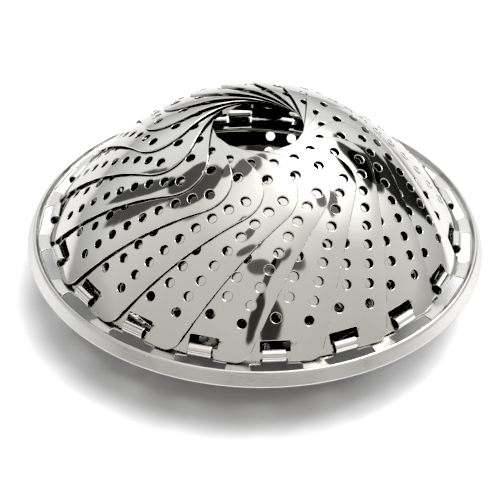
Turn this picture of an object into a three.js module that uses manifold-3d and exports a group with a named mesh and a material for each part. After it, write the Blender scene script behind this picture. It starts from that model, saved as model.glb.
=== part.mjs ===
import * as THREE from "three";
import { mergeVertices } from "three/addons/utils/BufferGeometryUtils.js";
import Module from "manifold-3d";

// Folding vegetable steamer basket of pressed stainless sheet, in millimetres with +Z up.
// The folded legs rest on z = 0 and the basket's axis is the Z axis. It is modelled shut:
// the petals close over the dish as a dome with a round mouth at the top.

// The ring of petals and the sheet they are pressed from
const PETAL_COUNT = 18;
const HINGE_RADIUS = 70;
const PETAL_SHEET = 0.4;

// One petal: a fan-shaped leaf that is bent along its length and cupped across it
const PETAL_LENGTH = 71.4;
const PETAL_TAIL = 1.2;
const PETAL_ROOT_WIDTH = 31.3;
const PETAL_TIP_WIDTH = 69.3;
const PETAL_SLOPE = 57.5;
const PETAL_BEND_RADIUS = 112;
const PETAL_ROOT_STEP = 1.6;
const PETAL_TIP_STEP = 1.0;
const PETAL_TIP_CORNER = 16;
const PETAL_ROOT_CORNER = 4;

// The slot that leaves a hinge strip along the petal's lower edge
const STRIP_REACH = 1.2;
const SLOT_WIDTH = 10;
const SLOT_LENGTH = 3.6;

// Perforation of a petal, in staggered rows, one row in each band of the leaf
const PETAL_HOLE_RADIUS = 2;
const PETAL_BANDS = 4;

// Dish: a flat perforated floor, a bowl wall, a flange, a bead and a flared skirt
const DISH_SHEET = 0.5;
const DISH_DEPTH = 17;
const FLOOR_RADIUS = 46;
const WALL_FULLNESS = 0.65;
const WALL_LIFT = 3.5;
const FLANGE_DROP = 2.4;
const FLANGE_INNER = 5.4;
const FLANGE_LANDING = 0.9;
const BEAD_RISE = 1.4;
const BEAD_WIDTH = 2.2;
const SKIRT_DEPTH = 4.8;
const SKIRT_FLARE = 1.7;
const DISH_HOLE_RADIUS = 1.8;
const DISH_HOLE_PITCH = 16;
const DISH_HOLE_RINGS = 2;

// Windows in the flange, and the tongue that is lanced from each to make the hinge knuckle
const WINDOW_WIDTH = 17.4;
const WINDOW_INNER = 1.2;
const WINDOW_OUTER = 5.2;
const TONGUE_WIDTH = 8;
const TONGUE_EASE = 0.05;
const TONGUE_SIDE_GAP = 0.4;
const KNUCKLE_BORE = 1.7;
const KNUCKLE_END = 170;

// Legs that fold flat under the floor, their channel brackets, pins and rivets
const LEG_COUNT = 3;
const LEG_START = 30;
const LEG_INSET = 11;
const LEG_LENGTH = 26;
const LEG_WIDTH = 12;
const LEG_SHEET = 1.2;
const LEG_EAR_RADIUS = 2.6;
const LEG_EAR_LENGTH = 9;
const LEG_TOE = 2.4;
const BRACKET_SHEET = 1;
const PIN_RADIUS = 1.2;
const PIN_HEAD_RADIUS = 2;
const PIN_HEAD = 0.8;
const RIVET_REACH = 7;
const RIVET_EDGE = 3;
const RIVET_RADIUS = 1.2;
const RIVET_HEAD_RADIUS = 2.2;
const RIVET_HEAD = 0.9;

// Clearances: between moving pieces, and between pieces clamped together
const RUN_GAP = 0.3;
const SEAT_GAP = 0.15;

// Heights that follow from the stack of folded leg, bracket and dish
const pinZ = LEG_SHEET + LEG_EAR_RADIUS + RUN_GAP;
const bracketZ = pinZ + LEG_EAR_RADIUS + RUN_GAP;
const dishZ = bracketZ + BRACKET_SHEET + SEAT_GAP;
const floorZ = dishZ + DISH_SHEET;
const flangeZ = floorZ + DISH_DEPTH;
const hingeZ = flangeZ + FLANGE_DROP;
const legPinRadius = FLOOR_RADIUS - LEG_INSET;
const bracketInside = LEG_WIDTH + 2 * RUN_GAP;
const bracketOutside = bracketInside + 2 * BRACKET_SHEET;

// Lengths of the cutting tools, which pass well through the sheets that they cut
const cutReach = 8 * DISH_SHEET;
const boreReach = 4 * (BRACKET_SHEET + DISH_SHEET);

const wasm = await Module();
wasm.setup();

// A closed solid for joining and cutting, from any closed geometry
function solid(geometry) {
  const bare = geometry.clone();
  bare.deleteAttribute("normal");
  bare.deleteAttribute("uv");
  const welded = mergeVertices(bare, 1e-4);
  const index = welded.index.array;
  const kept = [];
  for (let i = 0; i < index.length; i += 3) {
    const [a, b, c] = index.slice(i, i + 3);
    if (a !== b && b !== c && c !== a) kept.push(a, b, c);
  }
  return new wasm.Manifold(
    new wasm.Mesh({
      numProp: 3,
      vertProperties: new Float32Array(welded.attributes.position.array),
      triVerts: new Uint32Array(kept),
    })
  );
}

// The solid as a geometry, with the triangles of each flat face merged where they can be
function toGeometry(body) {
  const mesh = body.asOriginal().simplify(1e-3).getMesh();
  const geometry = new THREE.BufferGeometry();
  geometry.setAttribute("position", new THREE.BufferAttribute(mesh.vertProperties, 3));
  geometry.setIndex(new THREE.BufferAttribute(mesh.triVerts, 1));
  geometry.computeVertexNormals();
  return geometry;
}

function steel(shade, roughness) {
  return new THREE.MeshStandardMaterial({
    color: new THREE.Color(shade, shade, shade * 0.98),
    metalness: 1,
    roughness,
  });
}

const radians = THREE.MathUtils.degToRad;
const pitch = (2 * Math.PI) / PETAL_COUNT;

// Point of a petal at u along it from the hinge line and v across it, lifted off the middle
// of the sheet. X points away from the basket's axis, Z up, and the hinge line is at zero.
// The leaf is cupped to the dome's own roundness, and rolled so that it climbs by one layer
// from each neighbour to the next: that lets the whole ring spiral shut and open. The layers
// lie closer together towards the tip.
function petalPoint(u, v, lift) {
  const slope = radians(PETAL_SLOPE);
  const angle = slope - u / PETAL_BEND_RADIUS;
  const inward = PETAL_BEND_RADIUS * (Math.sin(slope) - Math.sin(angle));
  const up = PETAL_BEND_RADIUS * (Math.cos(angle) - Math.cos(slope));
  const ring = HINGE_RADIUS - inward;
  const share = Math.max(u, 0) / PETAL_LENGTH;
  const step = PETAL_ROOT_STEP + (PETAL_TIP_STEP - PETAL_ROOT_STEP) * share ** 2;
  const roll = step / (ring * pitch);
  const cup = Math.sin(angle) / ring;
  const rise = roll * v - 0.5 * cup * v * v + lift;
  return new THREE.Vector3(
    -inward + rise * Math.sin(angle),
    v,
    up + rise * Math.cos(angle)
  );
}

// How far a rounded corner draws an edge in, at a distance past the start of its arc
function cornerCut(radius, past) {
  const reach = Math.min(Math.max(past, 0), radius);
  return radius - Math.sqrt(radius ** 2 - reach ** 2);
}

// Half the leaf's width at u, with its straight sides and rounded corners
function petalHalfWidth(u) {
  const taper = (PETAL_TIP_WIDTH - PETAL_ROOT_WIDTH) / PETAL_LENGTH;
  const side = (PETAL_ROOT_WIDTH + taper * Math.max(u, 0)) / 2;
  const tipCut = cornerCut(PETAL_TIP_CORNER, u - (PETAL_LENGTH - PETAL_TIP_CORNER));
  const rootCut = cornerCut(PETAL_ROOT_CORNER, PETAL_ROOT_CORNER - PETAL_TAIL - u);
  return side - tipCut - rootCut;
}

// Lines across the leaf: its lower edge, both ends of the slot, the bands of holes, and two that
// round off the corners of the tip
function petalLines() {
  const low = STRIP_REACH + SLOT_LENGTH;
  const high = PETAL_LENGTH - PETAL_TIP_CORNER / 2;
  const lines = [-PETAL_TAIL, STRIP_REACH];
  for (let i = 0; i <= PETAL_BANDS; i++) lines.push(low + ((high - low) * i) / PETAL_BANDS);
  lines.push(high + 0.4 * PETAL_TIP_CORNER, PETAL_LENGTH);
  return lines;
}

// Lines along the leaf: the outer ones keep to its sides, the middle ones to the slot's ends
function petalLineAcross(u, j) {
  const half = petalHalfWidth(u);
  const middle = SLOT_WIDTH / 2;
  const between = middle + (half - middle) / 2;
  return [-half, -between, -middle, middle, between, half][j];
}

// The perforated curved sheet: every cell of the leaf is filled on both faces but for the slot,
// and walls close the edges of the leaf, the slot and the holes. Three holes in one band and
// two in the next make the rows staggered.
function petalGeometry() {
  const columns = 5;
  const slotBand = 1;
  const slotColumn = 2;
  const lines = petalLines();
  const positions = [];
  const half = PETAL_SHEET / 2;
  const put = (spot, lift) => positions.push(...petalPoint(spot.y, spot.x, lift).toArray());
  const wall = (p, q) => {
    for (const [spot, lift] of [[p, half], [p, -half], [q, -half]]) put(spot, lift);
    for (const [spot, lift] of [[p, half], [q, -half], [q, half]]) put(spot, lift);
  };
  const corner = (i, j) => new THREE.Vector2(petalLineAcross(lines[i], j), lines[i]);
  for (let i = 0; i + 1 < lines.length; i++) {
    for (let j = 0; j < columns; j++) {
      const outline = [corner(i, j), corner(i, j + 1), corner(i + 1, j + 1), corner(i + 1, j)];
      if (i === slotBand && j === slotColumn) {
        outline.forEach((p, n) => wall(outline[(n + 1) % 4], p));
        continue;
      }
      const holes = [];
      const perforated = i > slotBand && i <= slotBand + PETAL_BANDS;
      if (perforated && (i + j) % 2 === slotBand % 2) {
        const middle = outline.reduce((sum, p) => sum.add(p), new THREE.Vector2());
        middle.divideScalar(4);
        const rim = new THREE.EllipseCurve(middle.x, middle.y, PETAL_HOLE_RADIUS, PETAL_HOLE_RADIUS);
        holes.push(rim.getPoints(6).slice(0, 6));
      }
      const spots = [...outline, ...holes.flat()];
      for (const [a, b, c] of THREE.ShapeUtils.triangulateShape(outline, holes)) {
        for (const n of [a, b, c]) put(spots[n], half);
        for (const n of [a, c, b]) put(spots[n], -half);
      }
      for (const rim of holes) rim.forEach((p, n) => wall(rim[(n + 1) % rim.length], p));
      if (i === 0) wall(outline[0], outline[1]);
      if (j === columns - 1) wall(outline[1], outline[2]);
      if (i + 2 === lines.length) wall(outline[2], outline[3]);
      if (j === 0) wall(outline[3], outline[0]);
    }
  }
  const geometry = new THREE.BufferGeometry();
  geometry.setAttribute("position", new THREE.Float32BufferAttribute(positions, 3));
  return toGeometry(solid(geometry));
}

// Six-sided punch through the dish's sheet at a point, square to its face
function punch(radius, point, normal) {
  const geometry = new THREE.CylinderGeometry(radius, radius, cutReach, 6);
  const turn = new THREE.Quaternion();
  turn.setFromUnitVectors(new THREE.Vector3(0, 1, 0), normal);
  geometry.applyQuaternion(turn);
  geometry.translate(point.x, point.y, point.z);
  return solid(geometry);
}

// The same line moved sideways by a distance, with mitred corners
function offsetLine(points, distance) {
  return points.map((point, i) => {
    const before = points[Math.max(i - 1, 0)];
    const after = points[Math.min(i + 1, points.length - 1)];
    const a = point.clone().sub(before);
    const b = after.clone().sub(point);
    if (a.length() === 0) a.copy(b);
    if (b.length() === 0) b.copy(a);
    const normal = new THREE.Vector2(-a.y, a.x).normalize();
    const next = new THREE.Vector2(-b.y, b.x).normalize();
    const mitre = normal.clone().add(next).normalize();
    return point.clone().addScaledVector(mitre, distance / mitre.dot(normal));
  });
}

// Upper face of the dish from the axis to the skirt's lower edge, as radius and height
function wallCurve() {
  const top = HINGE_RADIUS - FLANGE_INNER;
  const turn = FLOOR_RADIUS + WALL_FULLNESS * (top - FLOOR_RADIUS);
  return new THREE.QuadraticBezierCurve(
    new THREE.Vector2(FLOOR_RADIUS, floorZ),
    new THREE.Vector2(turn, floorZ + WALL_LIFT),
    new THREE.Vector2(top, flangeZ)
  );
}

function dishSheet() {
  const flangeEdge = HINGE_RADIUS + WINDOW_OUTER + FLANGE_LANDING;
  const beadZ = flangeZ + BEAD_RISE;
  const upper = [new THREE.Vector2(0, floorZ), ...wallCurve().getPoints(3)];
  upper.push(new THREE.Vector2(flangeEdge, flangeZ));
  upper.push(new THREE.Vector2(flangeEdge + BEAD_WIDTH / 3, beadZ));
  upper.push(new THREE.Vector2(flangeEdge + BEAD_WIDTH, beadZ));
  upper.push(new THREE.Vector2(flangeEdge + BEAD_WIDTH + SKIRT_FLARE, beadZ - SKIRT_DEPTH));
  const lower = offsetLine(upper, -DISH_SHEET);
  const profile = [...lower, ...upper.reverse()];
  const geometry = new THREE.LatheGeometry(profile, 2 * PETAL_COUNT, pitch / 4);
  geometry.rotateX(Math.PI / 2);
  return geometry;
}

// Side view of a tongue: it leaves the window's inner edge, runs out under the petal's hinge
// strip, curls up round the outside of it and over the top, and ends in the petal's slot,
// against one end of it
function tongue() {
  const outer = KNUCKLE_BORE + DISH_SHEET;
  const root = -WINDOW_INNER - FLANGE_LANDING / 2;
  const rootTop = -FLANGE_DROP - TONGUE_EASE;
  const rootBottom = -FLANGE_DROP - DISH_SHEET + TONGUE_EASE;
  const shape = new THREE.Shape();
  shape.moveTo(root, rootBottom);
  shape.absarc(0, 0, outer, radians(-80), radians(KNUCKLE_END), false);
  shape.absarc(0, 0, KNUCKLE_BORE, radians(KNUCKLE_END), radians(-90), true);
  shape.lineTo(root, rootTop);
  const geometry = new THREE.ExtrudeGeometry(shape, {
    depth: TONGUE_WIDTH,
    bevelEnabled: false,
    curveSegments: 4,
  });
  geometry.rotateX(Math.PI / 2);
  geometry.translate(HINGE_RADIUS, TONGUE_WIDTH - SLOT_WIDTH / 2 + TONGUE_SIDE_GAP, hingeZ);
  return geometry;
}

function rivetPlaces() {
  const places = [];
  for (let leg = 0; leg < LEG_COUNT; leg++) {
    const azimuth = radians(LEG_START + (360 * leg) / LEG_COUNT);
    for (const reach of [-RIVET_REACH, RIVET_REACH]) {
      const radius = legPinRadius + reach;
      places.push(new THREE.Vector3(radius * Math.cos(azimuth), radius * Math.sin(azimuth), dishZ));
    }
  }
  return places;
}

function roundBar(radius, length, sides) {
  const geometry = new THREE.CylinderGeometry(radius, radius, length, sides);
  geometry.rotateX(Math.PI / 2);
  return geometry;
}

const RIVET_SIDES = 6;
const PIN_SIDES = 6;

// Radius of a many-sided hole that clears a many-sided bar by a gap
function clearHole(radius, gap, sides) {
  return (radius + gap) / Math.cos(Math.PI / sides);
}

function dishGeometry() {
  let body = solid(dishSheet());
  const window = new THREE.BoxGeometry(WINDOW_INNER + WINDOW_OUTER, WINDOW_WIDTH, cutReach);
  window.translate(HINGE_RADIUS + (WINDOW_OUTER - WINDOW_INNER) / 2, 0, flangeZ);
  const loop = tongue();
  for (let k = 0; k < PETAL_COUNT; k++) {
    const turn = k * pitch;
    body = body.subtract(solid(window.clone().rotateZ(turn)));
    body = body.add(solid(loop.clone().rotateZ(turn)));
  }
  const upright = new THREE.Vector3(0, 0, 1);
  for (let ring = 1; ring <= DISH_HOLE_RINGS; ring++) {
    for (let i = 0; i < 6 * ring; i++) {
      const azimuth = (2 * Math.PI * (i + 0.5)) / (6 * ring);
      const place = new THREE.Vector3(Math.cos(azimuth), Math.sin(azimuth), 0);
      place.multiplyScalar(ring * DISH_HOLE_PITCH).setZ(floorZ);
      body = body.subtract(punch(DISH_HOLE_RADIUS, place, upright));
    }
  }
  const wall = wallCurve();
  const spot = wall.getPoint(0.5);
  const lean = wall.getTangent(0.5);
  for (let k = 0; k < PETAL_COUNT; k++) {
    const azimuth = (k + 0.5) * pitch;
    const out = new THREE.Vector3(Math.cos(azimuth), Math.sin(azimuth), 0);
    const place = out.clone().multiplyScalar(spot.x).setZ(spot.y);
    const normal = out.multiplyScalar(-lean.y).setZ(lean.x);
    body = body.subtract(punch(DISH_HOLE_RADIUS, place, normal));
  }
  const bore = roundBar(clearHole(RIVET_RADIUS, SEAT_GAP, RIVET_SIDES), boreReach, RIVET_SIDES);
  for (const place of rivetPlaces()) {
    body = body.subtract(solid(bore.clone().translate(place.x, place.y, place.z)));
  }
  return toGeometry(body);
}

// A channel: a side view given the full width, and hollowed between its two ears
function channel(outline, width, sheet, hollowBottom, hollowTop) {
  const geometry = new THREE.ExtrudeGeometry(outline, {
    depth: width,
    bevelEnabled: false,
    curveSegments: 3,
  });
  geometry.rotateX(Math.PI / 2);
  geometry.translate(0, width / 2, 0);
  const height = hollowTop - hollowBottom;
  const hollow = new THREE.BoxGeometry(4 * LEG_LENGTH, width - 2 * sheet, height);
  hollow.translate(0, 0, (hollowBottom + hollowTop) / 2);
  return [solid(geometry), solid(hollow)];
}

// Leg, with its pin on the Y axis at the origin and its upturned toe towards negative X
function legGeometry() {
  const under = -pinZ;
  const over = under + LEG_SHEET;
  const toe = -LEG_LENGTH + LEG_TOE;
  const outline = new THREE.Shape();
  outline.moveTo(toe, under);
  outline.lineTo(-LEG_EAR_RADIUS, under);
  outline.absarc(0, 0, LEG_EAR_RADIUS, radians(-60), radians(120), false);
  outline.lineTo(-LEG_EAR_LENGTH, over);
  outline.lineTo(toe + LEG_SHEET / 2, over);
  outline.lineTo(-LEG_LENGTH + LEG_SHEET, under + LEG_TOE);
  outline.lineTo(-LEG_LENGTH, under + LEG_TOE);
  const [body, hollow] = channel(outline, LEG_WIDTH, LEG_SHEET, over, LEG_EAR_RADIUS + 1);
  const bore = roundBar(clearHole(PIN_RADIUS, RUN_GAP / 2, PIN_SIDES), LEG_WIDTH + 2, PIN_SIDES);
  bore.rotateX(Math.PI / 2);
  return toGeometry(body.subtract(hollow).subtract(solid(bore)));
}

// Bracket, an upturned channel: a plate under the dish floor and an ear down each side
function bracketGeometry() {
  const under = bracketZ - pinZ;
  const over = under + BRACKET_SHEET;
  const end = RIVET_REACH + RIVET_EDGE;
  const outline = new THREE.Shape();
  outline.moveTo(end, over);
  outline.lineTo(-end, over);
  outline.lineTo(-end, under);
  outline.lineTo(-RIVET_REACH, under);
  outline.absarc(0, 0, LEG_EAR_RADIUS, radians(210), radians(330), false);
  outline.lineTo(RIVET_REACH, under);
  outline.lineTo(end, under);
  const [solidBody, hollow] = channel(
    outline,
    bracketOutside,
    BRACKET_SHEET,
    -2 * LEG_EAR_RADIUS,
    under
  );
  let body = solidBody.subtract(hollow);
  const across = roundBar(
    clearHole(PIN_RADIUS, SEAT_GAP, PIN_SIDES),
    bracketOutside + 2,
    PIN_SIDES
  );
  across.rotateX(Math.PI / 2);
  body = body.subtract(solid(across));
  const bore = roundBar(clearHole(RIVET_RADIUS, SEAT_GAP, RIVET_SIDES), boreReach, RIVET_SIDES);
  for (const x of [-RIVET_REACH, RIVET_REACH]) {
    body = body.subtract(solid(bore.clone().translate(x, 0, under)));
  }
  return toGeometry(body);
}

// A headed bar along Z about the origin: the grip is the length between its two heads
function headedBar(radius, headRadius, head, grip, sides) {
  const half = grip / 2;
  const profile = [
    new THREE.Vector2(0, -half - head),
    new THREE.Vector2(headRadius - head / 2, -half - head),
    new THREE.Vector2(headRadius, -half),
    new THREE.Vector2(radius, -half),
    new THREE.Vector2(radius, half),
    new THREE.Vector2(headRadius, half),
    new THREE.Vector2(headRadius - head / 2, half + head),
    new THREE.Vector2(0, half + head),
  ];
  const geometry = new THREE.LatheGeometry(profile, sides);
  geometry.rotateX(Math.PI / 2);
  return toGeometry(solid(geometry));
}

const basket = new THREE.Group();

function place(parent, name, geometry, material) {
  const mesh = new THREE.Mesh(geometry, material);
  mesh.name = name;
  parent.add(mesh);
  return mesh;
}

place(basket, "base_dish", dishGeometry(), steel(0.74, 0.3));

const petal = petalGeometry();
for (let k = 0; k < PETAL_COUNT; k++) {
  const sector = new THREE.Group();
  sector.rotation.z = k * pitch;
  const mesh = place(sector, `petal_${String(k + 1).padStart(2, "0")}`, petal, steel(0.8, 0.12));
  mesh.position.set(HINGE_RADIUS, 0, hingeZ);
  basket.add(sector);
}

const bracket = bracketGeometry();
const leg = legGeometry();
const pinGrip = bracketOutside + 2 * SEAT_GAP;
const pin = headedBar(PIN_RADIUS, PIN_HEAD_RADIUS, PIN_HEAD, pinGrip, PIN_SIDES);
const rivetGrip = floorZ - bracketZ + 2 * SEAT_GAP;
const rivet = headedBar(RIVET_RADIUS, RIVET_HEAD_RADIUS, RIVET_HEAD, rivetGrip, RIVET_SIDES);
for (let k = 0; k < LEG_COUNT; k++) {
  const station = new THREE.Group();
  station.rotation.z = radians(LEG_START + (360 * k) / LEG_COUNT);
  const axle = new THREE.Group();
  axle.position.set(legPinRadius, 0, pinZ);
  station.add(axle);
  place(axle, `leg_bracket_${k + 1}`, bracket, steel(0.7, 0.35));
  place(axle, `leg_${k + 1}`, leg, steel(0.72, 0.3));
  const pinMesh = place(axle, `leg_pin_${k + 1}`, pin, steel(0.66, 0.35));
  pinMesh.rotation.x = Math.PI / 2;
  for (const [side, reach] of [["inner", -RIVET_REACH], ["outer", RIVET_REACH]]) {
    const mesh = place(axle, `rivet_${k + 1}_${side}`, rivet, steel(0.68, 0.3));
    mesh.position.set(reach, 0, (bracketZ + floorZ) / 2 - pinZ);
  }
  basket.add(station);
}

export default basket;
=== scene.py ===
import math

import bpy
import numpy as np
from mathutils import Matrix, Vector
from mathutils.geometry import delaunay_2d_cdt
from mathutils.kdtree import KDTree


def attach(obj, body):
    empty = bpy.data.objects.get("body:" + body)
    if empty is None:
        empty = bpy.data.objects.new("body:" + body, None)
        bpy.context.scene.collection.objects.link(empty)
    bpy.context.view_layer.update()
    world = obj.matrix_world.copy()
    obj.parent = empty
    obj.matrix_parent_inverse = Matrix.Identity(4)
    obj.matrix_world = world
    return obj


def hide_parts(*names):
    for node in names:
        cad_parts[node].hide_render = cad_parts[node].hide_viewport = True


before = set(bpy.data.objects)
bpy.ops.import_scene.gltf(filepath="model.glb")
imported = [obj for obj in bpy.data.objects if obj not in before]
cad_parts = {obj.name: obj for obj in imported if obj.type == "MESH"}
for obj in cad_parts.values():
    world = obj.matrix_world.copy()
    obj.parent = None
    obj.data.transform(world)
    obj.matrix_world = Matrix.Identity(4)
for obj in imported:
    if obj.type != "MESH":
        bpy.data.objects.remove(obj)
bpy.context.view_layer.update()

# Dish: one pressing of thin stainless sheet, with a flat perforated floor, a perforated bowl wall, and
# a flange with a window for each petal, which ends in a raised bead and a flared skirt. The bowl is
# polished inside and duller outside, and the rim keeps the ring-wise lines of its satin finish. Its
# polished steel is painted darker than the petals' as shade inside the bowl, and its faces that look
# down are painted darker still, as the shade under the dish.
mm = 0.001
petal_count = 18
petal_step = 2 * math.pi / petal_count
hinge_ring = 70 * mm
dish_sheet = 0.5 * mm
floor_ring = 46 * mm
floor_height = 8.65 * mm
wall_top_ring = 64.6 * mm
flange_height = 25.65 * mm
window_outer_ring = 75.2 * mm
skirt_flare = 1.9 * mm
skirt_drop = 4.1 * mm
satin_ring = 70.6 * mm
tongue_width = 8 * mm
tongue_shift = -0.6 * mm
edge_roll = 0.1 * mm
edge_land = 0.3 * mm


def bend(first, turn, last, steps):
    """Points of a smooth bend that leaves one point and reaches another, drawn to a turning point."""
    spots = []
    for i in range(steps + 1):
        t = i / steps
        spots.append(tuple(
            (1 - t) ** 2 * a + 2 * t * (1 - t) * b + t * t * c
            for a, b, c in zip(first, turn, last)
        ))
    return spots


def dish_line():
    """Upper face of the dish from near its middle to the skirt's edge, as ring and height in mm."""
    inner, low = floor_ring / mm, floor_height / mm
    top, flange = wall_top_ring / mm, flange_height / mm
    rim = window_outer_ring / mm
    floor_end, wall_foot = (inner - 2, low), (inner + 2.2, low + 0.55)
    wall_belly = (inner + 0.65 * (top - inner), low + 3.5)
    wall_end, flange_start = (top - 0.6, flange - 0.9), (top + 0.7, flange)
    bead_foot, bead_side = (rim + 0.5, flange), (rim + 1.25, flange + 0.7)
    bead_rise, bead_fall = (rim + 1.35, flange + 0.95), (rim + 2.6, flange + 1.3)
    skirt_top = (rim + 2.85, flange + 0.9)
    line = [(ring, low) for ring in (4, 12, 20, 28, 36, 42)]
    line += bend(floor_end, (inner, low), wall_foot, 4)
    wall = bend((inner, low), wall_belly, (top, flange), 24)
    line += [spot for spot in wall if wall_foot[0] + 0.4 < spot[0] < wall_end[0] - 0.4]
    line += bend(wall_end, (top, flange), flange_start, 4)
    line += [(ring, flange) for ring in (67.5, 70, 72.5, rim)]
    line += bend(bead_foot, (rim + 1, flange + 0.1), bead_side, 4)
    line += bend(bead_rise, (rim + 1.75, flange + 2.05), bead_fall, 6)
    for share in (0, 0.15, 0.3, 0.45, 0.6, 0.75, 0.9, 0.97, 1):
        line.append((skirt_top[0] + share * skirt_flare / mm, skirt_top[1] - share * skirt_drop / mm))
    return np.array(line) * mm


dish_profile = dish_line()
dish_run = dish_profile[0][0] + np.concatenate(
    [[0], np.cumsum(np.hypot(*np.diff(dish_profile, axis=0).T))]
)
dish_slope = np.gradient(dish_profile, dish_run, axis=0)
flange_stretch = float(np.interp(hinge_ring, dish_profile[:, 0], dish_run)) - hinge_ring


def on_dish(x, y):
    """Point and outward normal of the dish's upper face, for a point of its flat round blank."""
    run, around = math.hypot(x, y), math.atan2(y, x)
    ring, height = (float(np.interp(run, dish_run, dish_profile[:, i])) for i in (0, 1))
    across, rise = (float(np.interp(run, dish_run, dish_slope[:, i])) for i in (0, 1))
    # Within the profile's first ring the floor is flat, and the blank keeps its size.
    ring = min(ring, run)
    away = Vector((math.cos(around), math.sin(around), 0))
    up = Vector((0, 0, 1))
    return away * ring + up * height, (up * across - away * rise).normalized()


def inside(spots, rims):
    """Which spots of the blank lie on its material, within the outline and outside the holes."""
    found = np.zeros(len(spots), bool)
    for rim in rims:
        for (x0, y0), (x1, y1) in zip(rim, rim[1:] + rim[:1]):
            if y0 != y1:
                crosses = (y0 > spots[:, 1]) != (y1 > spots[:, 1])
                reach = x0 + (spots[:, 1] - y0) * (x1 - x0) / (y1 - y0)
                found ^= crosses & (spots[:, 0] < reach)
    return found


def beside(rim, distance):
    """The same loop moved to its left, which is into the material, by a distance."""
    moved = []
    for i, (x, y) in enumerate(rim):
        before, after = rim[i - 1], rim[(i + 1) % len(rim)]
        along = Vector((after[0] - before[0], after[1] - before[1])).normalized()
        moved.append((x - along.y * distance, y + along.x * distance))
    return moved


def add_object(name, data):
    """A new object in the scene, for a mesh, a lamp or a camera."""
    obj = bpy.data.objects.new(name, data)
    bpy.context.scene.collection.objects.link(obj)
    return obj


def thick_sheet(name, points, normals, faces, above, below):
    """Mesh of a sheet laid on points and normals, with its thickness and its edges rolled round."""
    used = {}
    for face in faces:
        for i, start in enumerate(face):
            end = face[(i + 1) % len(face)]
            used.setdefault((min(start, end), max(start, end)), []).append((start, end, face))
    edges = [found[0] for found in used.values() if len(found) == 1]
    outward = np.zeros_like(points)
    for start, end, face in edges:
        along = points[end] - points[start]
        away = (points[start] + points[end]) / 2 - points[list(face)].mean(axis=0)
        away -= along * (away @ along) / (along @ along)
        away /= np.linalg.norm(away)
        outward[start] += away
        outward[end] += away
    size = np.linalg.norm(outward, axis=1, keepdims=True)
    on_edge = size > 0
    outward /= np.where(on_edge, size, 1)
    count = len(points)
    roll = np.where(on_edge, edge_roll, 0)
    places = np.concatenate([points + normals * (above - roll), points - normals * (below - roll)])
    # At a rolled edge the normals lean out by about 60 degrees.
    up, out = np.where(on_edge, 0.5, 1), 0.87
    sides = np.concatenate([normals * up + outward * out, -normals * up + outward * out])
    walls = [(end, start, start + count, end + count) for start, end, _ in edges]
    lower = [[i + count for i in reversed(face)] for face in faces]
    mesh = bpy.data.meshes.new(name)
    mesh.from_pydata(places.tolist(), [], [list(face) for face in faces] + lower + walls)
    mesh.shade_smooth()
    mesh.normals_split_custom_set_from_vertices(sides.tolist())
    return mesh


def pressed_sheet(name, rims, inner, surface, above, below):
    """Mesh of a pressing: a flat blank with an outline and holes, laid on a surface.

    The outline runs anticlockwise and the holes clockwise, so the material is on their left.
    """
    near = KDTree(sum(len(rim) for rim in rims))
    spots, edges = [], []
    for rim in rims:
        first = len(spots)
        for i, (x, y) in enumerate(rim):
            near.insert((x, y, 0), first + i)
            spots.append(Vector((x, y)))
            edges.append((first + i, first + (i + 1) % len(rim)))
    near.balance()
    clear, same_spot = 0.6 * edge_land, 1e-9
    fill = np.array(inner)
    fill = fill[inside(fill, rims)]
    spots += [Vector(spot) for spot in fill if near.find((*spot, 0))[2] > clear]
    spots, _, faces, _, _, _ = delaunay_2d_cdt(spots, edges, [], 0, same_spot)
    flat = np.array([tuple(spot) for spot in spots])
    faces = np.array([face for face in faces if len(face) == 3])
    faces = faces[inside(flat[faces].mean(axis=1), rims)]
    kept, faces = np.unique(faces, return_inverse=True)
    faces = [tuple(face) for face in faces.reshape(-1, 3).tolist()]
    laid = [surface(x, y) for x, y in flat[kept]]
    points, normals = (np.array([tuple(pair[i]) for pair in laid]) for i in (0, 1))
    return thick_sheet(name, points, normals, faces, above, below)


def dish_hole(run, around, radius, sides):
    """Loop of a round hole at a distance along the dish's profile, true to size on the dish."""
    ring = float(np.interp(run, dish_run, dish_profile[:, 0]))
    loop = []
    for i in range(sides):
        turn = -2 * math.pi * i / sides
        out, side = run + radius * math.cos(turn), around + radius * math.sin(turn) / ring
        loop.append((out * math.cos(side), out * math.sin(side)))
    return loop


def corner(x, y, radius, start, sweep, steps=5):
    """Points of a rounded corner about a centre, from a start angle through a sweep, in degrees."""
    turns = [math.radians(start + sweep * i / steps) for i in range(steps + 1)]
    return [(x + radius * math.cos(t), y + radius * math.sin(t)) for t in turns]


def dish_window(around):
    """Loop of a window in the flange: straight ends, one large corner, and a notch for a tongue."""
    notch, inner, outer, half = 68.8 * mm, 71.2 * mm, window_outer_ring, 8.7 * mm
    small, large, step, tongue_gap = 0.7 * mm, 2.4 * mm, 1.5 * mm, 0.5 * mm
    loop = corner(inner + small, half - small, small, 180, -90)
    loop += corner(outer - small, half - small, small, 90, -90)
    loop += [(outer, half * (1 - i / 6)) for i in range(1, 9)]
    loop += corner(outer - large, -half + large, large, 0, -90)
    loop += corner(inner + small, -half + small, small, 270, -90)
    side = tongue_width / 2 + tongue_gap
    start, end = tongue_shift - side, tongue_shift + side
    loop += [(inner, start - step), (inner, start), (inner - step, start)]
    loop += [(notch, y) for y in np.linspace(start, end, 7)]
    loop += [(inner - step, end), (inner, end), (inner, end + step), (inner, end + 2 * step)]
    turned = []
    for x, y in loop:
        run, turn = math.hypot(x, y) + flange_stretch, math.atan2(y, x) + around
        turned.append((run * math.cos(turn), run * math.sin(turn)))
    return turned


leg_turns = [math.radians(30 + 120 * k) for k in range(3)]
leg_pin_ring = 35 * mm
rivet_reach = 7 * mm
rivet_spots = [
    ((leg_pin_ring + reach) * math.cos(turn), (leg_pin_ring + reach) * math.sin(turn))
    for turn in leg_turns
    for reach in (-rivet_reach, rivet_reach)
]


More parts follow.
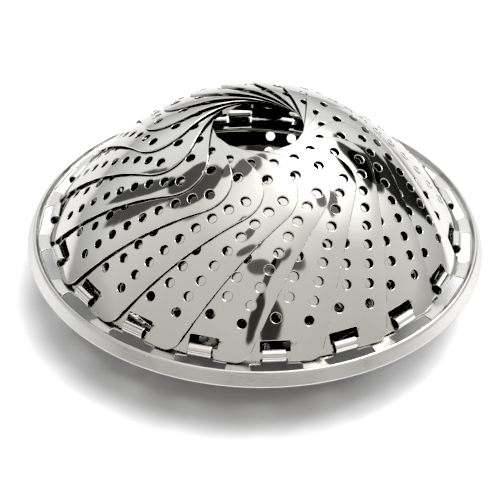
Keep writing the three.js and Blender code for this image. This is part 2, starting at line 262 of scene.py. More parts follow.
def dish_holes():
    """Loops of the floor's rings of holes, clear of the rivets, and of the wall's columns of pairs."""
    radius, sides = 1.65 * mm, 14
    floor_rings, floor_pitch, rivet_clear = 6, 7 * mm, 4.6 * mm
    wall_rows, wall_start, wall_pitch = 4, 6.2 * mm, 5.7 * mm
    wall_columns, first_column, pair_half = 12, math.radians(26), 3.9 * mm
    holes = []
    for k in range(1, floor_rings + 1):
        ring, count = floor_pitch * k, 6 * k
        for i in range(count):
            around = 2 * math.pi * (i + 0.5 * (k % 2)) / count
            spot = (ring * math.cos(around), ring * math.sin(around))
            if min(math.dist(spot, rivet) for rivet in rivet_spots) > rivet_clear:
                holes.append(dish_hole(ring, around, radius, sides))
    for row in range(wall_rows):
        run = floor_ring + wall_start + wall_pitch * row
        spread = pair_half / float(np.interp(run, dish_run, dish_profile[:, 0]))
        for column in range(wall_columns):
            middle = first_column + 2 * math.pi * column / wall_columns
            holes += [dish_hole(run, middle + side * spread, radius, sides) for side in (-1, 1)]
    return holes


def circle(run, count):
    """Anticlockwise loop of even spots on a circle of the blank."""
    turns = np.linspace(0, 2 * math.pi, count, endpoint=False)
    return [(run * math.cos(turn), run * math.sin(turn)) for turn in turns]


rim_spots = 180
fewest_spots = 12
floor_spacing = 3.5 * mm
dish_cuts = dish_holes() + [dish_window(k * petal_step) for k in range(petal_count)]
dish_fill = [spot for cut in dish_cuts for spot in beside(cut, edge_land)]
for run, (ring, _) in zip(dish_run[:-1], dish_profile):
    count = max(fewest_spots, round(2 * math.pi * ring / floor_spacing))
    dish_fill += circle(run, rim_spots if ring > wall_top_ring - 2 * mm else count)
dish_rims = [circle(dish_run[-1], rim_spots)] + dish_cuts
dish_mesh = pressed_sheet("dish", dish_rims, dish_fill, on_dish, 0, dish_sheet)


def add_node(tree, kind, inputs=None, **settings):
    """A new node of a tree, with each given input set to a value or linked to another's output."""
    node = tree.nodes.new(kind)
    for setting, choice in settings.items():
        setattr(node, setting, choice)
    for socket, value in (inputs or {}).items():
        if isinstance(value, bpy.types.NodeSocket):
            tree.links.new(value, node.inputs[socket])
        else:
            node.inputs[socket].default_value = value
    return node


def ring_wise(tree, place):
    """A place as its angle round Z, its distance from Z and its height."""
    parts = add_node(tree, "ShaderNodeSeparateXYZ", {0: place})
    around = add_node(
        tree, "ShaderNodeMath", {0: parts.outputs["Y"], 1: parts.outputs["X"]}, operation="ARCTAN2"
    )
    flat = add_node(tree, "ShaderNodeVectorMath", {0: place, 1: (1, 1, 0)}, operation="MULTIPLY")
    ring = add_node(tree, "ShaderNodeVectorMath", {0: flat.outputs[0]}, operation="LENGTH")
    joined = add_node(tree, "ShaderNodeCombineXYZ", {
        "X": around.outputs[0], "Y": ring.outputs["Value"], "Z": parts.outputs["Z"],
    })
    return joined.outputs[0]


def steel(name, tint, dullness, grain_scale, grain_depth, waves=None, rings=False):
    """Bare stainless steel: mottled sheen, a fine grain, and the slow waves of pressed sheet.

    Dullness is the least and the most roughness, and waves are a scale and a depth. The grain is drawn
    out along the axis with the smallest scale, or round Z where it is in rings. Copies of one piece are
    numbered, and each number has its own part of the pattern.
    """
    copy_shift = (0.31, 0.17, 0.23)
    glance_tint = (0.68, 0.68, 0.68, 1)
    dark, light = ((*[c * share for c in tint], 1) for share in (0.95, 1.05))
    material = bpy.data.materials.new(name)
    material.use_nodes = True
    tree = material.node_tree
    place = add_node(tree, "ShaderNodeTexCoord").outputs["Object"]
    number = add_node(tree, "ShaderNodeObjectInfo").outputs["Object Index"]
    own_place = add_node(
        tree, "ShaderNodeVectorMath", {0: number, 1: copy_shift, 2: place}, operation="MULTIPLY_ADD"
    ).outputs[0]
    stretch = add_node(tree, "ShaderNodeMapping", {
        "Vector": ring_wise(tree, place) if rings else own_place, "Scale": grain_scale,
    })
    grain = add_node(
        tree, "ShaderNodeTexNoise", {"Vector": stretch.outputs[0], "Scale": 1, "Detail": 4}
    ).outputs["Fac"]
    mottle = add_node(
        tree, "ShaderNodeTexNoise", {"Vector": own_place, "Scale": 55, "Detail": 5}
    ).outputs["Fac"]
    shade = add_node(
        tree, "ShaderNodeMix", {"Factor": mottle, "A": dark, "B": light}, data_type="RGBA"
    )
    both = add_node(tree, "ShaderNodeMath", {0: grain, 1: mottle}, operation="ADD")
    sheen = add_node(tree, "ShaderNodeMapRange", {
        "Value": both.outputs[0], "From Min": 0.6, "From Max": 1.4,
        "To Min": dullness[0], "To Max": dullness[1],
    })
    relief = add_node(tree, "ShaderNodeBump", {"Height": grain, "Distance": grain_depth})
    if waves:
        wave_scale, wave_depth = waves
        swell = add_node(
            tree, "ShaderNodeTexNoise", {"Vector": own_place, "Scale": wave_scale, "Detail": 1}
        )
        slow = add_node(
            tree, "ShaderNodeBump", {"Height": swell.outputs["Fac"], "Distance": wave_depth}
        )
        tree.links.new(slow.outputs["Normal"], relief.inputs["Normal"])
    shader = tree.nodes["Principled BSDF"]
    shader.inputs["Metallic"].default_value = 1
    shader.inputs["Specular Tint"].default_value = glance_tint
    tree.links.new(shade.outputs["Result"], shader.inputs["Base Color"])
    tree.links.new(sheen.outputs["Result"], shader.inputs["Roughness"])
    tree.links.new(relief.outputs["Normal"], shader.inputs["Normal"])
    return material


# Painted shade: the bowl's polished steel is painted darker than the petals' (0.5 against 0.58), so the
# inside of the bowl looks shaded.
shaded_dish_polish = steel(
    "shaded_dish_polish", tint=(0.5, 0.495, 0.475), dullness=(0.05, 0.11),
    grain_scale=(300, 300, 300), grain_depth=0.001 * mm, waves=(60, 0.05 * mm),
)
rim_satin = steel(
    "rim_satin", tint=(0.58, 0.57, 0.545), dullness=(0.24, 0.38),
    grain_scale=(6, 5000, 5000), grain_depth=0.006 * mm, rings=True,
)
# Painted shade: the same steel painted much darker, for the dish's faces that look down, as the shade
# under the dish.
shaded_dish_underside = steel(
    "shaded_dish_underside", tint=(0.3, 0.296, 0.285), dullness=(0.12, 0.24),
    grain_scale=(300, 300, 300), grain_depth=0.002 * mm,
)
for finish in (shaded_dish_polish, rim_satin, shaded_dish_underside):
    dish_mesh.materials.append(finish)
# Faces that look down, inside the satin ring, take the steel painted darker as shade under the dish.
for face in dish_mesh.polygons:
    on_rim = math.hypot(*face.center[:2]) > satin_ring
    looks_down = face.normal.z < -0.2
    face.material_index = 1 if on_rim else 2 if looks_down else 0
dish = add_object("dish", dish_mesh)
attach(dish, "base")
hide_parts("base_dish")

# Hinge tongues: strips lanced from the flange at each window and never cut free of its inner edge.
# Each runs out under a petal's hinge strip, curls up round the outside and over the top of it, and
# ends inside the petal's slot.
hinge_height = 28.05 * mm
tongue_curl = 1.95 * mm
tongue_end = math.radians(172)
tongue_root = (-1.25 * mm, flange_height - dish_sheet / 2 - hinge_height)


def tongue_side():
    """Middle line of a tongue from its root, as distance out from the hinge line and height."""
    low, curl_steps = -tongue_curl, 24
    step_foot, step_top = (-0.6 * mm, low - 0.35 * mm), (-0.5 * mm, low - 0.23 * mm)
    line = bend(tongue_root, (-0.85 * mm, tongue_root[1]), step_foot, 4)
    line += bend(step_top, (-0.3 * mm, low), (0, low), 3)
    for i in range(1, curl_steps + 1):
        turn = -math.pi / 2 + (tongue_end + math.pi / 2) * i / curl_steps
        line.append((tongue_curl * math.cos(turn), tongue_curl * math.sin(turn)))
    return np.array(line)


tongue_line = tongue_side()
tongue_run = np.concatenate([[0], np.cumsum(np.hypot(*np.diff(tongue_line, axis=0).T))])
tongue_slope = np.gradient(tongue_line, tongue_run, axis=0)


def on_tongue(run, side):
    """Point and inner normal of a tongue's middle layer, at the hinge of the first petal."""
    out, up = (float(np.interp(run, tongue_run, tongue_line[:, i])) for i in (0, 1))
    across, rise = (float(np.interp(run, tongue_run, tongue_slope[:, i])) for i in (0, 1))
    spot = Vector((hinge_ring + out, side + tongue_shift, hinge_height + up))
    return spot, Vector((-rise, 0, across)).normalized()


tongue_half = tongue_width / 2
tongue_corner = 0.6 * mm
tongue_straight = tongue_run[-1] - tongue_corner
tongue_rim = [(run, -tongue_half) for run in tongue_run if run < tongue_straight]
tongue_rim += corner(tongue_straight, -tongue_half + tongue_corner, tongue_corner, -90, 90)
tongue_rim += corner(tongue_straight, tongue_half - tongue_corner, tongue_corner, 0, 90)
tongue_rim += [(run, tongue_half) for run in tongue_run[::-1] if run < tongue_straight]
tongue_fill = beside(tongue_rim, edge_land)
tongue_fill += [(run, side * mm) for run in tongue_run for side in range(-3, 4)]
tongue_mesh = pressed_sheet(
    "tongue", [tongue_rim], tongue_fill, on_tongue, dish_sheet / 2, dish_sheet / 2
)
tongue_polish = steel(
    "tongue_polish", tint=(0.62, 0.615, 0.59), dullness=(0.12, 0.22),
    grain_scale=(300, 300, 300), grain_depth=0.002 * mm,
)
tongue_mesh.materials.append(tongue_polish)
for k in range(petal_count):
    tongue = add_object(f"hinge_tongue_{k + 1:02d}", tongue_mesh)
    tongue.matrix_world = Matrix.Rotation(k * petal_step, 4, "Z")
    tongue.pass_index = k
    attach(tongue, "base")
    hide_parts("base_dish")

# Leg brackets: short channels of steel strip, pressed with an ear down each side to carry a pin.
# Each is clamped under the dish floor by two rivets.
pin_height = 4.1 * mm
bracket_sheet = 1 * mm
bracket_middle = 3.4 * mm
bracket_half = 6.8 * mm
bracket_web = 7 * mm
bracket_end = 10 * mm
bracket_corner = 1.5 * mm
bracket_shoulder = 7.4 * mm
bracket_hole = 1.35 * mm
bracket_ear_start, bracket_ear_sweep = 22, 136
ear_radius = 2.6 * mm
strip_bend = 1.1 * mm
strip_spacing = 0.9 * mm


def on_channel(middle, half, fall, toe=None):
    """Surface of a channel strip about its pin: a flat web, and an ear bent down or up each side.

    A toe, given as where it starts, its radius and its turn, curls the web's end up.
    """
    flat = half - strip_bend
    turn_length = strip_bend * math.pi / 2

    def surface(x, y):
        side = math.copysign(1, y)
        past = abs(y) - flat
        if past <= 0:
            spot, normal = Vector((x, y, middle)), Vector((0, 0, 1))
        elif past < turn_length:
            turn = past / strip_bend
            out, drop = strip_bend * math.sin(turn), strip_bend * (1 - math.cos(turn))
            spot = Vector((x, side * (flat + out), middle + fall * drop))
            normal = Vector((0, -fall * side * math.sin(turn), math.cos(turn)))
        else:
            spot = Vector((x, side * half, middle + fall * (strip_bend + past - turn_length)))
            normal = Vector((0, -fall * side, 0))
        if toe and x < toe[0]:
            start, radius, most = toe
            turn = min((start - x) / radius, most)
            beyond = start - x - turn * radius
            spot.x = start - radius * math.sin(turn) - beyond * math.cos(turn)
            spot.z += radius * (1 - math.cos(turn)) + beyond * math.sin(turn)
            normal = Vector((math.sin(turn), 0, math.cos(turn)))
        return spot, normal

    return surface


def flat_of(height, middle, half):
    """How far across the flat strip a place on an ear lies, for its distance from the web."""
    return half - strip_bend + strip_bend * math.pi / 2 + abs(height - middle) - strip_bend


def round_hole(x, y, radius, sides=20):
    """Clockwise loop of a round hole in a flat blank."""
    turns = [-2 * math.pi * i / sides for i in range(sides)]
    return [(x + radius * math.cos(t), y + radius * math.sin(t)) for t in turns]


def mirrored(edge):
    """One half of a blank's outline, followed by the same half on the other side of the middle."""
    return edge + [(x, -y) for x, y in reversed(edge)]


def strip_grid(x0, x1, width, step):
    """Even spots over a strip, close together across its bends."""
    columns = np.arange(x0, x1, step)
    rows = np.arange(-width, width, step / 2)
    return [(x, y) for x in columns for y in rows]


bracket_ear = flat_of(0, bracket_middle, bracket_half)
corner_out, corner_side = bracket_end - bracket_corner, bracket_web - bracket_corner
bracket_edge = corner(corner_out, corner_side, bracket_corner, 0, 90)
bracket_edge += [(bracket_shoulder, bracket_web)]
bracket_edge += corner(0, bracket_ear, ear_radius, bracket_ear_start, bracket_ear_sweep, 12)
bracket_edge += [(-bracket_shoulder, bracket_web)]
bracket_edge += corner(-corner_out, corner_side, bracket_corner, 90, 90)
bracket_rims = [mirrored(bracket_edge)]
bracket_rims += [round_hole(x, 0, bracket_hole) for x in (-rivet_reach, rivet_reach)]
bracket_rims += [round_hole(0, side * bracket_ear, bracket_hole) for side in (-1, 1)]
bracket_fill = [spot for rim in bracket_rims for spot in beside(rim, edge_land)]
bracket_fill += strip_grid(-bracket_end, bracket_end, bracket_ear + ear_radius, strip_spacing)
bracket_mesh = pressed_sheet(
    "bracket", bracket_rims, bracket_fill, on_channel(bracket_middle, bracket_half, -1),
    bracket_sheet / 2, bracket_sheet / 2,
)
leg_steel = steel(
    "leg_steel", tint=(0.58, 0.575, 0.555), dullness=(0.2, 0.36),
    grain_scale=(60, 2600, 2600), grain_depth=0.004 * mm,
)
bracket_mesh.materials.append(leg_steel)
stations = []
for k, turn in enumerate(leg_turns):
    station = Matrix.Rotation(turn, 4, "Z") @ Matrix.Translation((leg_pin_ring, 0, pin_height))
    stations.append(station)
    bracket = add_object(f"leg_bracket_strip_{k + 1}", bracket_mesh)
    bracket.matrix_world = station
    bracket.pass_index = k
    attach(bracket, "base")
    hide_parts(f"leg_bracket_{k + 1}")

# Rivets: solid steel, set cold with a domed head above the dish floor and one under the bracket.
# Two clamp each bracket.
rivet_radius = 1.2 * mm
rivet_head_radius = 2.2 * mm
rivet_head = 0.9 * mm
rivet_grip = 1.95 * mm
bracket_under = pin_height + bracket_middle - bracket_sheet / 2
rivet_middle = (bracket_under + floor_height) / 2 - pin_height


def turned_pin(name, radius, head_radius, head, grip):
    """Mesh of a round pin along Z with a domed head on each end, turned from a half profile."""
    half, head_edge, tip, sides = grip / 2, 0.25 * head, 0.01 * mm, 32
    profile = [(radius, 0), (radius, half - 0.02 * mm), (radius + 0.1 * mm, half)]
    profile += [(head_radius - 0.12 * mm, half), (head_radius, half + 0.1 * head)]
    for turn in np.linspace(0, math.pi / 2, 9)[:-1]:
        height = half + head_edge + (head - head_edge) * math.sin(turn)
        profile.append((head_radius * math.cos(turn), height))
    profile = [(r, -z) for r, z in reversed(profile[1:])] + profile
    spots = [(0, 0, profile[0][1] - tip)]
    for r, z in profile:
        for i in range(sides):
            turn = 2 * math.pi * i / sides
            spots.append((r * math.cos(turn), r * math.sin(turn), z))
    spots.append((0, 0, profile[-1][1] + tip))
    faces = [(0, 1 + (i + 1) % sides, 1 + i) for i in range(sides)]
    for j in range(len(profile) - 1):
        low, high = 1 + j * sides, 1 + (j + 1) * sides
        for i in range(sides):
            ahead = (i + 1) % sides
            faces.append((low + i, low + ahead, high + ahead, high + i))
    last = 1 + (len(profile) - 1) * sides
    faces += [(last + i, last + (i + 1) % sides, len(spots) - 1) for i in range(sides)]
    mesh = bpy.data.meshes.new(name)
    mesh.from_pydata(spots, [], faces)
    mesh.shade_smooth()
    return mesh


rivet_mesh = turned_pin("rivet", rivet_radius, rivet_head_radius, rivet_head, rivet_grip)
fastener_steel = steel(
    "fastener_steel", tint=(0.6, 0.595, 0.575), dullness=(0.16, 0.3),
    grain_scale=(5, 4000, 4000), grain_depth=0.003 * mm, rings=True,
)
rivet_mesh.materials.append(fastener_steel)
for k, station in enumerate(stations):
    for side, reach in (("inner", -rivet_reach), ("outer", rivet_reach)):
        rivet = add_object(f"set_rivet_{k + 1}_{side}", rivet_mesh)
        rivet.matrix_world = station @ Matrix.Translation((reach, 0, rivet_middle))
        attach(rivet, "base")
        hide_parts(f"rivet_{k + 1}_{side}")

# Leg pins: steel pins through both ears of a bracket, on which a leg swings. Each is cut from round
# wire and headed at both ends, so it can't work out.
leg_pin_radius = 1.2 * mm
leg_pin_head_radius = 2 * mm
leg_pin_head = 0.8 * mm
leg_pin_grip = 14.9 * mm
pin_mesh = turned_pin("leg_pin", leg_pin_radius, leg_pin_head_radius, leg_pin_head, leg_pin_grip)
pin_mesh.materials.append(fastener_steel)
for k, station in enumerate(stations):
    pin = add_object(f"leg_axle_{k + 1}", pin_mesh)
    pin.matrix_world = station @ Matrix.Rotation(math.pi / 2, 4, "X")
    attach(pin, "base")
    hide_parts(f"leg_pin_{k + 1}")

# Legs: strips of thicker steel with an ear bent up each side at the pin and a toe turned up at the
# end. They fold flat under the dish, and swing down and out to stand the basket over water.
leg_sheet = 1.2 * mm
leg_half = 5.4 * mm
leg_web = 5.5 * mm
leg_middle = -3.5 * mm
leg_web_end = -2.9 * mm
leg_blank_end = -26.4 * mm
leg_corner = 2.5 * mm
leg_hole = 1.4 * mm
leg_ear_start, leg_ear_sweep = -35, 155
leg_toe_start = -22.8 * mm
leg_toe_radius = 2 * mm
leg_toe_turn = math.radians(48)
leg_first_number = 4
leg_ear = flat_of(0, leg_middle, leg_half)
leg_edge = [(leg_web_end, 0.6 * mm), (leg_web_end, leg_web - 0.8 * mm)]
leg_edge += corner(0, leg_ear, ear_radius, leg_ear_start, leg_ear_sweep, 14)
leg_edge += [(-5.6 * mm, leg_web + 0.9 * mm), (-7.6 * mm, leg_web + 0.15 * mm), (-9 * mm, leg_web)]
leg_edge += [(x * mm, leg_web) for x in range(-11, -23, -2)]
leg_edge += corner(leg_blank_end + leg_corner, leg_web - leg_corner, leg_corner, 90, 90)
leg_rims = [mirrored(leg_edge)]
leg_rims += [round_hole(0, side * leg_ear, leg_hole) for side in (-1, 1)]
leg_fill = [spot for rim in leg_rims for spot in beside(rim, edge_land)]
leg_fill += strip_grid(leg_blank_end, ear_radius, leg_ear + ear_radius, strip_spacing)
leg_toe = (leg_toe_start, leg_toe_radius, leg_toe_turn)
leg_mesh = pressed_sheet(
    "leg", leg_rims, leg_fill, on_channel(leg_middle, leg_half, 1, leg_toe), leg_sheet / 2, leg_sheet / 2
)
leg_mesh.materials.append(leg_steel)
for k, station in enumerate(stations):
    leg = add_object(f"folding_leg_{k + 1}", leg_mesh)
    leg.matrix_world = station
    leg.pass_index = leg_first_number + k
    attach(leg, f"leg_{k + 1}")
    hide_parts(f"leg_{k + 1}")

# Petals: fan-shaped leaves of thin mirror-polished sheet, punched all over, bent along their length
# and cupped across it. A slot leaves a narrow strip along the lower edge, which turns in a tongue's
# curl; each leaf overlaps the next, so the ring spirals shut over the dish.
petal_sheet = 0.4 * mm
petal_length = 71.4 * mm
petal_tail = 2 * mm
petal_slant = 0.012 / mm
strip_tail = 1.2 * mm
petal_root_half = 15.65 * mm
petal_taper = 0.266
petal_slope = math.radians(57.5)
petal_bend = 112 * mm
petal_root_layer = 1.6 * mm
petal_tip_layer = 1.0 * mm
petal_tip_corner = 16 * mm
petal_root_corner = 5.5 * mm
petal_root_ease = 1 * mm
petal_tip_ease = 0.4 * mm
petal_ease_reach = 8 * mm
petal_root_hold = 0.7


def petal_half(along):
    """Half of a petal's width at a distance along it from the hinge line."""
    return petal_root_half + petal_taper * max(along, 0)


def petal_margin(along, side):
    """Distance from a place on a petal to its upper side or its tip, whichever is nearer."""
    past_side = side - petal_half(along) + petal_tip_corner
    past_tip = along - petal_length + petal_tip_corner
    if past_side > 0 and past_tip > 0:
        return petal_tip_corner - math.hypot(past_side, past_tip)
    return petal_tip_corner - max(past_side, past_tip)


def petal_spot(along, side):
    """Middle layer of a petal, at a distance along it from the hinge line and across it.

    Its upper side and its tip are eased down towards the leaf below.
    """
    angle = petal_slope - along / petal_bend
    inward = petal_bend * (math.sin(petal_slope) - math.sin(angle))
    up = petal_bend * (math.cos(angle) - math.cos(petal_slope))
    ring = hinge_ring - inward
    share = max(along, 0) / petal_length
    layer = petal_root_layer + (petal_tip_layer - petal_root_layer) * share ** 2
    rise = layer / (ring * petal_step) * side - 0.5 * math.sin(angle) / ring * side ** 2
    near = max(1 - petal_margin(along, side) / petal_ease_reach, 0)
    ease = petal_tip_ease + (petal_root_ease - petal_tip_ease) * (1 - share) ** 2
    rise -= ease * (1 - petal_root_hold * (1 - share) ** 4) * near ** 2
    return Vector((ring + rise * math.sin(angle), side, hinge_height + up + rise * math.cos(angle)))


def on_petal(side, along):
    """Point and outward normal of a petal's middle layer, across it and along it."""
    small = 0.05 * mm
    across = petal_spot(along, side + small) - petal_spot(along, side - small)
    onward = petal_spot(along + small, side) - petal_spot(along - small, side)
    return petal_spot(along, side), across.cross(onward).normalized()


def petal_outline():
    """Anticlockwise loop of a petal: straight sides, rounded corners, and a recess at its tongue."""
    side_spots, tip_spots, recess_gap = 36, 16, 0.7 * mm
    lean = math.atan(petal_taper)
    low = petal_root_corner * (1 - math.sin(lean)) - petal_tail
    high = petal_length - petal_tip_corner
    root = petal_half(low) - petal_root_corner * math.cos(lean)
    sweep = 90 - math.degrees(lean)
    right = corner(root, petal_root_corner - petal_tail, petal_root_corner, -90, sweep, 8)
    right += [(petal_half(along), along) for along in np.linspace(low, high, side_spots)[1:-1]]
    for turn in np.linspace(0, math.pi / 2, tip_spots):
        along = high + petal_tip_corner * math.sin(turn)
        right.append((petal_half(along) - petal_tip_corner * (1 - math.cos(turn)), along))
    top = right[-1][0]
    edge = right + [(side, petal_length) for side in np.linspace(top, -top, 25)[1:-1]]
    edge += [(-side, along) for side, along in reversed(right)]
    recess = tongue_width / 2 + recess_gap
    start, end = tongue_shift - recess, tongue_shift + recess
    edge += [(side, -petal_tail) for side in np.linspace(-root, start, 5)[1:]]
    edge += [(side, -strip_tail) for side in np.linspace(start, end, 7)]
    edge += [(side, -petal_tail) for side in np.linspace(end, root, 5)[:-1]]
    return [
        (side, along * (1 + petal_slant * side) if along < 0 else along) for side, along in edge
    ]


def petal_slot():
    """Clockwise loop of the slot that a tongue passes through."""
    half, low, high, small = 5 * mm, 1.2 * mm, 4.8 * mm, 0.35 * mm
    loop = corner(-half + small, low + small, small, 270, -90, 3)
    loop += corner(-half + small, high - small, small, 180, -90, 3)
    loop += [(side, high) for side in np.linspace(-half, half, 9)[1:-1]]
    loop += corner(half - small, high - small, small, 90, -90, 3)
    loop += corner(half - small, low + small, small, 0, -90, 3)
    return loop + [(side, low) for side in np.linspace(half, -half, 9)[1:-1]]


def petal_holes():
    """Loops of a petal's holes, in rows that arch across it, evenly spaced from its sides."""
    radius, spots, pitch = 1.7 * mm, 22, 8.2 * mm
    rows, first_row, row_step, arch = 9, 12.4 * mm, 7 * mm, 45 * mm
    side_margin, tip_margin, shift = 7.9 * mm, 3 * mm, 0.6 * mm
    holes = []
    for row in range(rows):
        start = first_row + row_step * row
        side = petal_half(start) - side_margin
        sides = []
        while side > pitch / 2:
            sides += [side, -side]
            side -= pitch
        # A hole goes in the middle where the innermost pair leaves room for it.
        if side + pitch > 0.9 * pitch:
            sides.append(0)
        for across in sides:
            along = start - across ** 2 / (2 * arch)
            if along < petal_length - tip_margin:
                holes.append(round_hole(across + shift, along, radius, spots))
    return holes


petal_spacing = 2.5 * mm
petal_reach = 35 * mm
petal_rims = [petal_outline(), petal_slot()] + petal_holes()
petal_fill = [spot for rim in petal_rims for spot in beside(rim, edge_land)]
petal_fill += [
    (across, along)
    for across in np.arange(-petal_reach, petal_reach + 0.1 * mm, petal_spacing)
    for along in np.arange(-1 * mm, petal_length, petal_spacing)
]
petal_mesh = pressed_sheet(
    "petal", petal_rims, petal_fill, on_petal, petal_sheet / 2, petal_sheet / 2
)
petal_mirror = steel(
    "petal_mirror", tint=(0.58, 0.572, 0.546), dullness=(0.03, 0.09),
    grain_scale=(420, 420, 420), grain_depth=0.0006 * mm, waves=(75, 0.14 * mm),
)
petal_mesh.materials.append(petal_mirror)
for k in range(petal_count):
    name = f"petal_{k + 1:02d}"
    petal = add_object(f"leaf_{k + 1:02d}", petal_mesh)
    petal.matrix_world = Matrix.Rotation(k * petal_step, 4, "Z")
    petal.pass_index = k
    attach(petal, name)
    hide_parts(name)

# Studio: a pale paper table top under a white tent with dark openings, which the steel mirrors. One lamp
# shines from a bright part of the tent, high behind on the right; a broad one overhead lights the paper,
# is seen in no reflection, and leaves a soft shadow round the basket.
table_half = 3
table_mesh = bpy.data.meshes.new("table_top")
table_mesh.from_pydata(
    [(x * table_half, y * table_half, 0) for x, y in ((-1, -1), (1, -1), (1, 1), (-1, 1))],
    [], [(0, 1, 2, 3)],
)
table_paper = bpy.data.materials.new("table_paper")
table_paper.use_nodes = True
paper_tree = table_paper.node_tree
fibres = add_node(paper_tree, "ShaderNodeTexNoise", {"Scale": 900})
paper_shade = add_node(
    paper_tree, "ShaderNodeMix",
    {"Factor": fibres.outputs["Fac"], "A": (0.6, 0.6, 0.61, 1), "B": (0.64, 0.64, 0.65, 1)},
    data_type="RGBA",
)
paper = paper_tree.nodes["Principled BSDF"]
paper.inputs["Roughness"].default_value = 0.9
paper.inputs["Specular IOR Level"].default_value = 0.1
paper_tree.links.new(paper_shade.outputs["Result"], paper.inputs["Base Color"])
table_mesh.materials.append(table_paper)
table = add_object("table_top", table_mesh)

tent = bpy.data.worlds.new("tent")
tent.use_nodes = True
bpy.context.scene.world = tent
tent_tree = tent.node_tree
tent_way = add_node(tent_tree, "ShaderNodeTexCoord").outputs["Generated"]
tent_wobble = add_node(
    tent_tree, "ShaderNodeTexNoise", {"Vector": tent_way, "Scale": 7, "Detail": 3}
).outputs["Fac"]
patch_ragged = 0.9
patch_fade = 0.15
ramp_top = 4


def tent_math(operation, first, second):
    """A sum, product or the like of two values or outputs of the tent's light."""
    return add_node(tent_tree, "ShaderNodeMath", {0: first, 1: second}, operation=operation).outputs[0]


def tent_fade(value, start, end, first, last):
    """A smooth change from a first strength to a last one, as a value goes from start to end."""
    return add_node(
        tent_tree, "ShaderNodeMapRange",
        {"Value": value, "From Min": start, "From Max": end, "To Min": first, "To Max": last},
        interpolation_type="SMOOTHSTEP",
    ).outputs["Result"]


def way(azimuth, elevation):
    """Direction from the basket for an azimuth from +X towards +Y and an elevation, in degrees."""
    a, e = math.radians(azimuth), math.radians(elevation)
    return Vector((math.cos(e) * math.cos(a), math.cos(e) * math.sin(a), math.sin(e)))


def along_way(direction):
    """How far the light's direction goes along another one."""
    return add_node(
        tent_tree, "ShaderNodeVectorMath", {0: tent_way, 1: direction}, operation="DOT_PRODUCT"
    ).outputs["Value"]


def tent_patch(azimuth, elevation, half_width, half_height, tilt):
    """One in a ragged patch of the tent and nought outside it, for sizes and a tilt in degrees."""
    middle = way(azimuth, elevation)
    level = Vector((0, 0, 1)).cross(middle).normalized()
    upright = middle.cross(level)
    lean = math.radians(tilt)
    across = level * math.cos(lean) - upright * math.sin(lean)
    high = level * math.sin(lean) + upright * math.cos(lean)
    reach = tent_math("MULTIPLY", tent_wobble, patch_ragged)
    for axis, half in ((across, half_width), (high, half_height)):
        part = tent_math("DIVIDE", along_way(axis), math.sin(math.radians(half)))
        reach = tent_math("ADD", reach, tent_math("MULTIPLY", part, part))
    edge = 1 + 0.5 * patch_ragged
    patch = tent_fade(reach, edge - patch_fade, edge + patch_fade, 1, 0)
    return tent_math("MULTIPLY", patch, tent_math("GREATER_THAN", along_way(middle), 0))


def tent_ramp(steps):
    """Strength of the tent for the height of a direction, from level at nought to straight up at one."""
    ramp = add_node(tent_tree, "ShaderNodeValToRGB", {"Fac": along_way((0, 0, 1))})
    while len(ramp.color_ramp.elements) < len(steps):
        ramp.color_ramp.elements.new(0.5)
    for element, (height, strength) in zip(ramp.color_ramp.elements, steps):
        grey = strength / ramp_top
        element.position = height
        element.color = (grey, grey, grey, 1)
    return tent_math("MULTIPLY", ramp.outputs["Color"], ramp_top)


tent_front = tent_ramp(((0, 0.1), (0.12, 0.37), (0.25, 0.68), (0.8, 0.79), (0.93, 1.07), (1, 1.35)))
tent_back = tent_ramp(((0, 0.8), (0.3, 1.08), (0.7, 1.12), (0.93, 1.2), (1, 1.35)))
backward = tent_fade(along_way((0, 1, 0)), -0.6, 1, 0, 1)
tent_gain = tent_math("MULTIPLY", tent_math("SUBTRACT", tent_back, tent_front), backward)
tent_strength = tent_math("ADD", tent_front, tent_gain)

window_way = way(38, 59)
window_outer, window_inner = math.radians(36), math.radians(10)
window_glow = tent_fade(along_way(window_way), math.cos(window_outer), math.cos(window_inner), 0, 0.75)
tent_strength = tent_math("ADD", tent_strength, window_glow)

# Each dark opening: azimuth, elevation, half width, half height and tilt in degrees, and its depth.
dark_openings = (
    (162, 52, 12, 13, 0, 0.85), (153, 27, 6, 16, 12, 0.85), (139, 69, 8, 7, 0, 0.8),
    (-86, 37, 6, 9, 0, 0.88), (-84, 52, 4, 7, 15, 0.84), (-62, 56, 3.5, 3, 0, 0.8),
    (-76, 56, 5, 4, 0, 0.86), (-98, 57, 7, 3, 0, 0.8), (-110, 66, 4, 3.5, 0, 0.8),
    (42, 33, 12, 7, 0, 0.92), (44, 18, 9, 20, -8, 0.92), (0, 58, 5, 5, 0, 0.84),
)
for *patch, depth in dark_openings:
    shade = tent_math("MULTIPLY", tent_patch(*patch), depth)
    tent_strength = tent_math("MULTIPLY", tent_strength, tent_math("SUBTRACT", 1, shade))
tent_tint = add_node(
    tent_tree, "ShaderNodeMix",
    {"Factor": backward, "A": (1, 0.985, 0.95, 1), "B": (0.97, 0.985, 1, 1)},
    data_type="RGBA",
)
tent_light = tent_tree.nodes["Background"]
tent_tree.links.new(tent_tint.outputs["Result"], tent_light.inputs["Color"])
tent_tree.links.new(tent_strength, tent_light.inputs["Strength"])


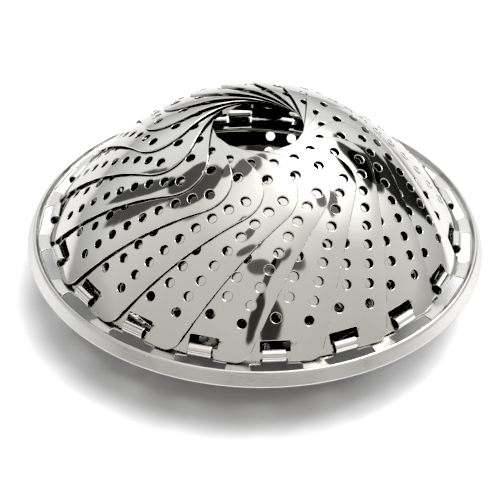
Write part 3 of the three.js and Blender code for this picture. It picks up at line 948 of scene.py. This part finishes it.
def add_lamp(name, power, width, height, place):
    """An elliptical lamp at a place, turned to the middle of the table."""
    data = bpy.data.lights.new(name, "AREA")
    data.energy = power
    data.shape = "ELLIPSE"
    data.size = width
    data.size_y = height
    lamp = add_object(name, data)
    lamp.location = place
    lamp.rotation_euler = (-place).to_track_quat("-Z", "Y").to_euler()
    return lamp


add_lamp("window_lamp", power=4.5, width=0.46, height=0.54, place=window_way * 1.1)
table_lamp = add_lamp("table_lamp", power=25, width=1.2, height=1.2, place=way(-10, 80) * 1.3)
table_lamp.visible_glossy = False

# Camera: the photograph's height and turn about the basket, with a long lens and a slight roll, aimed
# so that the middle of the hinge ring falls on its pixel of the photograph. The picture's black and
# white are set a little inside the light's, for white paper and dark gaps.
camera_elevation = math.radians(36.973)
camera_turn = math.radians(3.638)
camera_roll = math.radians(1.581)
camera_distance = 952.16 * mm
image_pixels = 500
lens_pixels = 2716.55
hinge_pixel = (255.59, 228.08)
sensor_width = 36
black, white = 0.033, 0.85
back = Matrix.Rotation(camera_turn, 3, "Z") @ Vector(
    (0, -math.cos(camera_elevation), math.sin(camera_elevation))
)
facing = back.to_track_quat("Z", "Y").to_matrix() @ Matrix.Rotation(camera_roll, 3, "Z")
yaw = math.atan((hinge_pixel[0] - image_pixels / 2) / lens_pixels)
pitch = math.atan((image_pixels / 2 - hinge_pixel[1]) / lens_pixels)
facing = facing @ Matrix.Rotation(yaw, 3, "Y") @ Matrix.Rotation(-pitch, 3, "X")
camera_place = Vector((0, 0, hinge_height)) + back * camera_distance
camera_data = bpy.data.cameras.new("camera")
camera_data.sensor_width = sensor_width
camera_data.lens = lens_pixels * sensor_width / image_pixels
camera = add_object("camera", camera_data)
camera.matrix_world = Matrix.Translation(camera_place) @ facing.to_4x4()
bpy.context.scene.camera = camera
view = bpy.context.scene.view_settings
view.view_transform = "Standard"
view.use_curve_mapping = True
view.curve_mapping.black_level = (black, black, black)
view.curve_mapping.white_level = (white, white, white)
view.curve_mapping.update()
